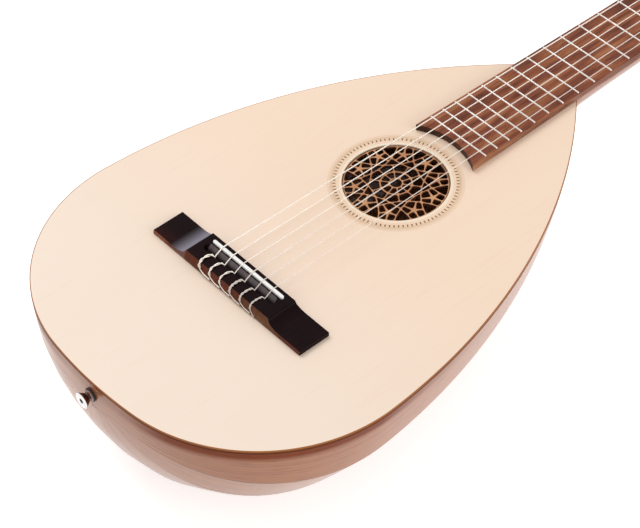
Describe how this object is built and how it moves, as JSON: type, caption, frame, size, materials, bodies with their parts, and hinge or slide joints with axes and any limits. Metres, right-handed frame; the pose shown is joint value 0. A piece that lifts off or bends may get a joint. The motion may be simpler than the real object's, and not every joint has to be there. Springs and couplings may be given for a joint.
{
  "type": "lute guitar",
  "caption": "Guitar-necked lute with a ribbed bowl, carved rose, tie-block bridge, slotted head and geared tuners whose buttons turn the string rollers.",
  "frame": {"origin": "middle of the footprint, on the plane that the lowest rib touches when the soundboard is level", "axes": "+Y along the strings from the tail to the head, +Z out of the soundboard, +X towards the thinnest string"},
  "size_m": [0.3354, 1.01, 0.1512],
  "materials": {
    "black_felt": "black felt",
    "bone": "polished, off-white",
    "bridge_wood": "polished, nearly black",
    "button_ivory": "polished, cream",
    "chrome": "polished",
    "fingerboard_wood": "oiled, dark brown with darker streaks",
    "inner_spruce": "bare",
    "neck_wood": "satin, reddish brown",
    "nylon_string": "clear nylon",
    "rose_wood": "carved edges, warm brown",
    "rosette_wood": "lacquered rings with dark ticks",
    "spruce_top": "satin lacquer, pale straw",
    "tuner_brass": "polished",
    "tuner_steel": "plated",
    "walnut_ribs": "high gloss, reddish brown with a plain figure",
    "wound_string": "silver-plated winding"
  },
  "bodies": {
    "instrument": {"bridge": "bridge_wood", "fingerboard": "fingerboard_wood", "head_veneer": "fingerboard_wood", "headstock": "neck_wood", "lining_bass": "inner_spruce", "lining_treble": "inner_spruce", "lower_brace": "inner_spruce", "middle_brace": "inner_spruce", "neck": "neck_wood", "neck_block": "inner_spruce", "nut": "bone", "rib_1": "walnut_ribs", "rib_2": "walnut_ribs", "rib_3": "walnut_ribs", "rib_4": "walnut_ribs", "rib_5": "walnut_ribs", "rib_6": "walnut_ribs", "rib_7": "walnut_ribs", "rib_8": "walnut_ribs", "rib_9": "walnut_ribs", "rose": "rose_wood", "rosette_ring": "rosette_wood", "saddle": "bone", "soundboard": "spruce_top", "strap_button": "chrome", "strap_button_washer": "black_felt", "string_1": "nylon_string", "string_2": "nylon_string", "string_3": "nylon_string", "string_4": "wound_string", "string_5": "wound_string", "string_6": "wound_string", "tail_block": "inner_spruce", "tuner_plate_bass": "tuner_brass", "tuner_plate_treble": "tuner_brass", "upper_brace": "inner_spruce"},
    "tuner_1": {"worm_1": "tuner_steel", "tuner_button_1": "button_ivory"},
    "roller_1": {"string_roller_1": "button_ivory", "roller_gear_1": "tuner_brass"},
    "tuner_2": {"worm_2": "tuner_steel", "tuner_button_2": "button_ivory"},
    "roller_2": {"string_roller_2": "button_ivory", "roller_gear_2": "tuner_brass"},
    "tuner_3": {"worm_3": "tuner_steel", "tuner_button_3": "button_ivory"},
    "roller_3": {"string_roller_3": "button_ivory", "roller_gear_3": "tuner_brass"},
    "tuner_4": {"worm_4": "tuner_steel", "tuner_button_4": "button_ivory"},
    "roller_4": {"string_roller_4": "button_ivory", "roller_gear_4": "tuner_brass"},
    "tuner_5": {"worm_5": "tuner_steel", "tuner_button_5": "button_ivory"},
    "roller_5": {"string_roller_5": "button_ivory", "roller_gear_5": "tuner_brass"},
    "tuner_6": {"worm_6": "tuner_steel", "tuner_button_6": "button_ivory"},
    "roller_6": {"string_roller_6": "button_ivory", "roller_gear_6": "tuner_brass"}
  },
  "joints": [
    {"name": "button_turn_1", "type": "hinge", "parent": "instrument", "child": "tuner_1", "pos_m": [0.0414, 0.3541, 0.12055], "axis": [0, 0.2419, 0.9703], "continuous": true},
    {"name": "roller_turn_1", "type": "hinge", "parent": "instrument", "child": "roller_1", "pos_m": [0, 0.36273, 0.1184], "axis": [1, 0, 0], "continuous": true},
    {"name": "button_turn_2", "type": "hinge", "parent": "instrument", "child": "tuner_2", "pos_m": [0.0414, 0.38806, 0.11209], "axis": [0, 0.2419, 0.9703], "continuous": true},
    {"name": "roller_turn_2", "type": "hinge", "parent": "instrument", "child": "roller_2", "pos_m": [0, 0.39669, 0.10994], "axis": [1, 0, 0], "continuous": true},
    {"name": "button_turn_3", "type": "hinge", "parent": "instrument", "child": "tuner_3", "pos_m": [0.0414, 0.42202, 0.10362], "axis": [0, 0.2419, 0.9703], "continuous": true},
    {"name": "roller_turn_3", "type": "hinge", "parent": "instrument", "child": "roller_3", "pos_m": [0, 0.43065, 0.10147], "axis": [1, 0, 0], "continuous": true},
    {"name": "button_turn_4", "type": "hinge", "parent": "instrument", "child": "tuner_4", "pos_m": [-0.0414, 0.42202, 0.10362], "axis": [0, 0.2419, 0.9703], "continuous": true},
    {"name": "roller_turn_4", "type": "hinge", "parent": "instrument", "child": "roller_4", "pos_m": [0, 0.43065, 0.10147], "axis": [1, 0, 0], "continuous": true},
    {"name": "button_turn_5", "type": "hinge", "parent": "instrument", "child": "tuner_5", "pos_m": [-0.0414, 0.38806, 0.11209], "axis": [0, 0.2419, 0.9703], "continuous": true},
    {"name": "roller_turn_5", "type": "hinge", "parent": "instrument", "child": "roller_5", "pos_m": [0, 0.39669, 0.10994], "axis": [1, 0, 0], "continuous": true},
    {"name": "button_turn_6", "type": "hinge", "parent": "instrument", "child": "tuner_6", "pos_m": [-0.0414, 0.3541, 0.12055], "axis": [0, 0.2419, 0.9703], "continuous": true},
    {"name": "roller_turn_6", "type": "hinge", "parent": "instrument", "child": "roller_6", "pos_m": [0, 0.36273, 0.1184], "axis": [1, 0, 0], "continuous": true}
  ],
  "couplings": [
    {"joint": "roller_turn_1", "follows": "button_turn_1", "ratio": 0.071429},
    {"joint": "roller_turn_2", "follows": "button_turn_2", "ratio": 0.071429},
    {"joint": "roller_turn_3", "follows": "button_turn_3", "ratio": 0.071429},
    {"joint": "roller_turn_4", "follows": "button_turn_4", "ratio": 0.071429},
    {"joint": "roller_turn_5", "follows": "button_turn_5", "ratio": 0.071429},
    {"joint": "roller_turn_6", "follows": "button_turn_6", "ratio": 0.071429}
  ]
}
